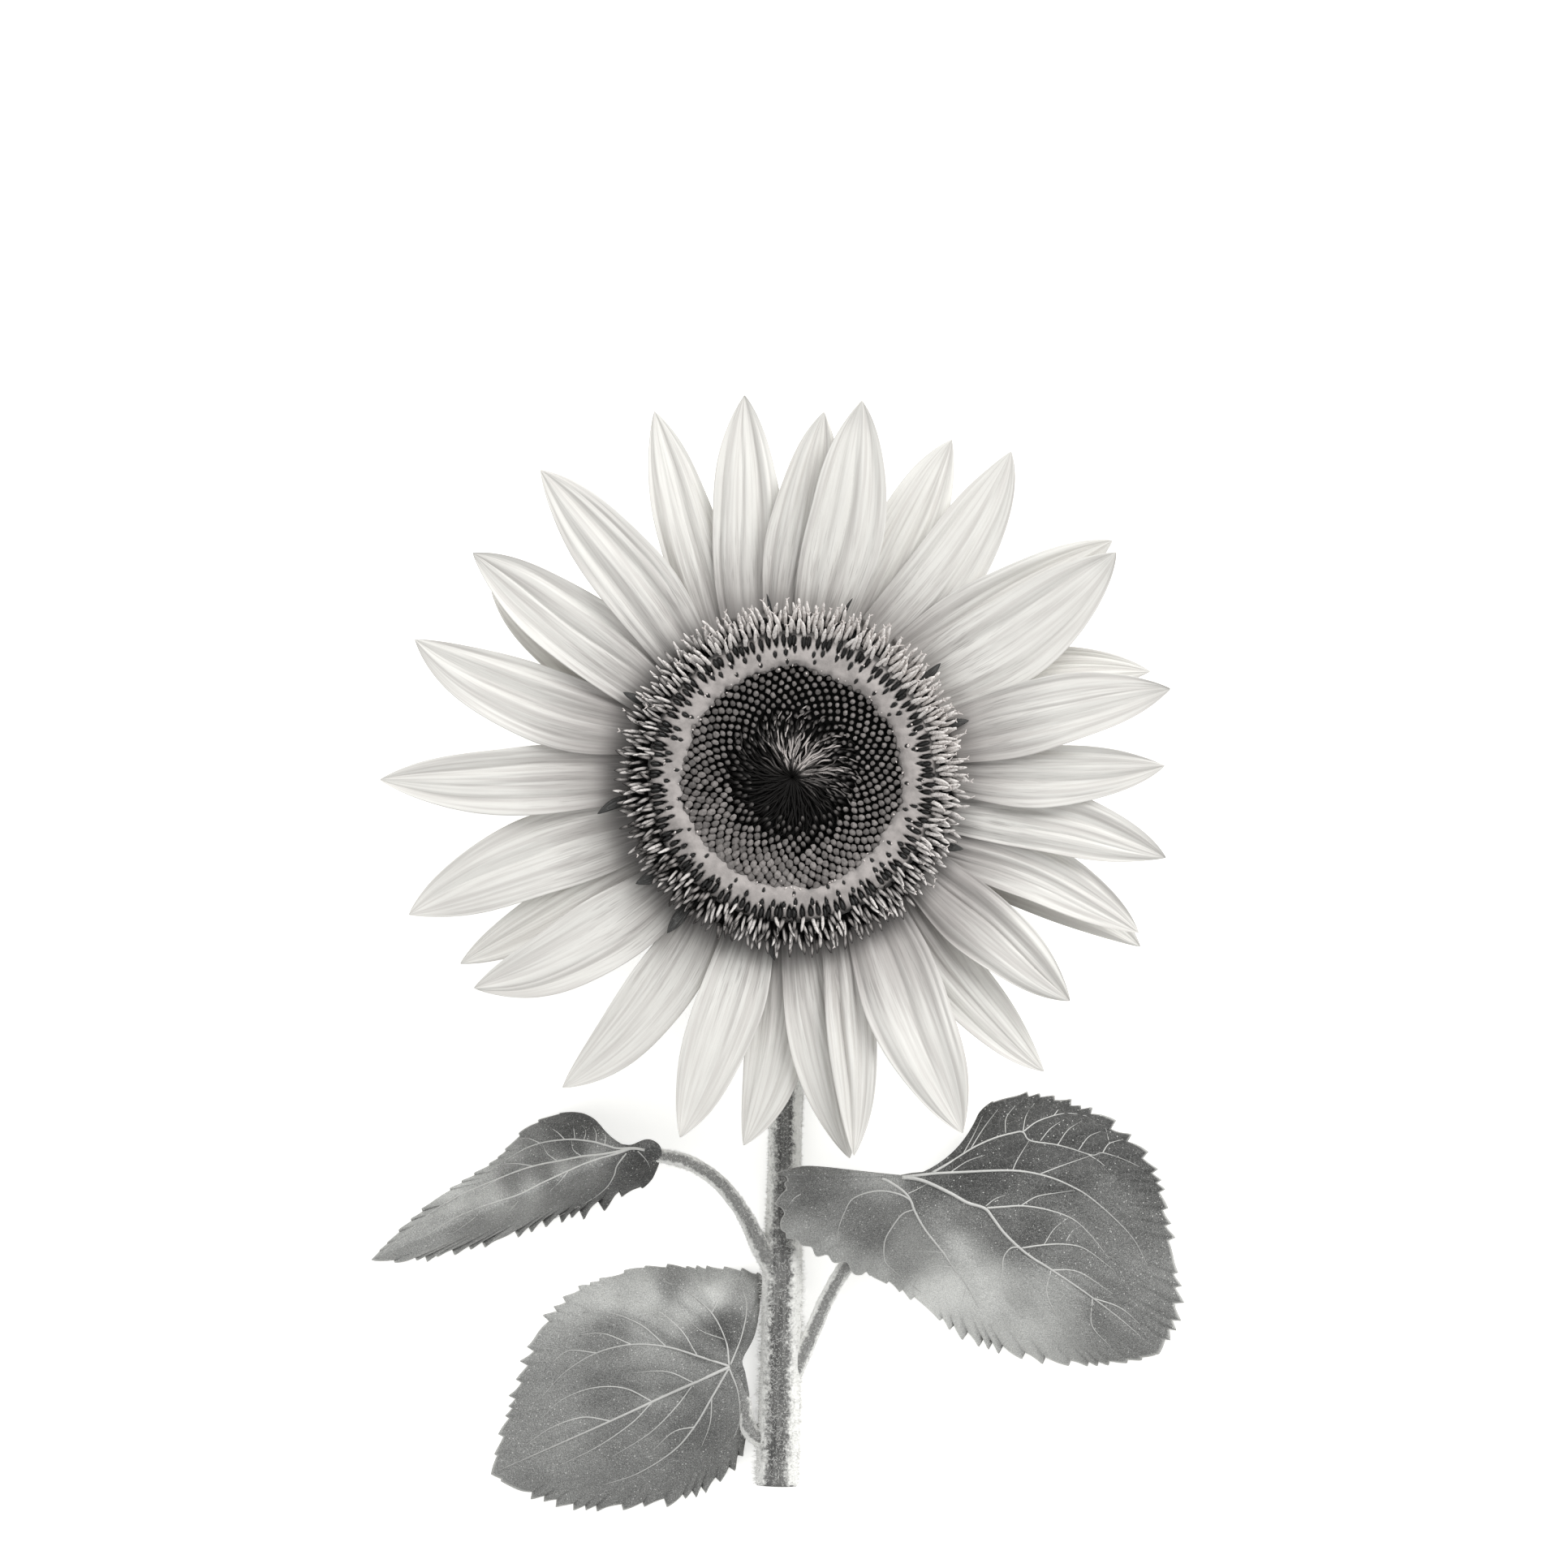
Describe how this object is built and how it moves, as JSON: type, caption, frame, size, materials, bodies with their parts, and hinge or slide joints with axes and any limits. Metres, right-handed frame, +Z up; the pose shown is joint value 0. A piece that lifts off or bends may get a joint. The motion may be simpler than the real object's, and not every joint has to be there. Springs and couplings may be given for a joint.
{
  "type": "cut sunflower head with stem and leaves",
  "caption": "Cut sunflower laid on its back, face up: overlapping ray petals round a disc of florets, pointed bracts behind, the neck bent to a stem that lies along the surface with leaves.",
  "frame": {"origin": "centre of the bounding box's underside, on the surface the flower lies on", "axes": "+Z up, out of the flower's face; the stem runs from the head towards -Y; +X to the right with the flower seen face on and the stem pointing down"},
  "size_m": [0.2322, 0.3188, 0.054],
  "materials": {
    "petal": "soft matt petal skin with fine lengthwise ribs, off-white as in a monochrome photograph",
    "centre_floret": "near-black florets with pale worn caps",
    "opening_floret": "pale, dusty, matt",
    "open_floret": "dark tubes with pale dusty tips, matt",
    "bract": "matt leaf-like scale with pale hairs",
    "stem": "ribbed and covered with short pale hairs",
    "leaf": "matt, finely dotted, with raised pale veins"
  },
  "bodies": {
    "root": {"receptacle": "bract", "centre_florets": "centre_floret", "pollen_band": "opening_floret", "open_florets": "open_floret", "ray_petal_01": "petal", "ray_petal_02": "petal", "ray_petal_03": "petal", "ray_petal_04": "petal", "ray_petal_05": "petal", "ray_petal_06": "petal", "ray_petal_07": "petal", "ray_petal_08": "petal", "ray_petal_09": "petal", "ray_petal_10": "petal", "ray_petal_11": "petal", "ray_petal_12": "petal", "ray_petal_13": "petal", "ray_petal_14": "petal", "ray_petal_15": "petal", "ray_petal_16": "petal", "ray_petal_17": "petal", "ray_petal_18": "petal", "ray_petal_19": "petal", "ray_petal_20": "petal", "ray_petal_21": "petal", "ray_petal_22": "petal", "ray_petal_23": "petal", "ray_petal_24": "petal", "ray_petal_25": "petal", "ray_petal_26": "petal", "ray_petal_27": "petal", "ray_petal_28": "petal", "ray_petal_29": "petal", "ray_petal_30": "petal", "outer_bract_01": "bract", "outer_bract_02": "bract", "outer_bract_03": "bract", "outer_bract_04": "bract", "outer_bract_05": "bract", "outer_bract_06": "bract", "outer_bract_07": "bract", "outer_bract_08": "bract", "outer_bract_09": "bract", "outer_bract_10": "bract", "outer_bract_11": "bract", "inner_bract_01": "bract", "inner_bract_02": "bract", "inner_bract_03": "bract", "inner_bract_04": "bract", "inner_bract_05": "bract", "inner_bract_06": "bract", "inner_bract_07": "bract", "inner_bract_08": "bract", "inner_bract_09": "bract", "inner_bract_10": "bract", "stem": "stem", "right_leaf": "leaf", "left_leaf": "leaf", "lower_leaf": "leaf"}
  },
  "joints": []
}
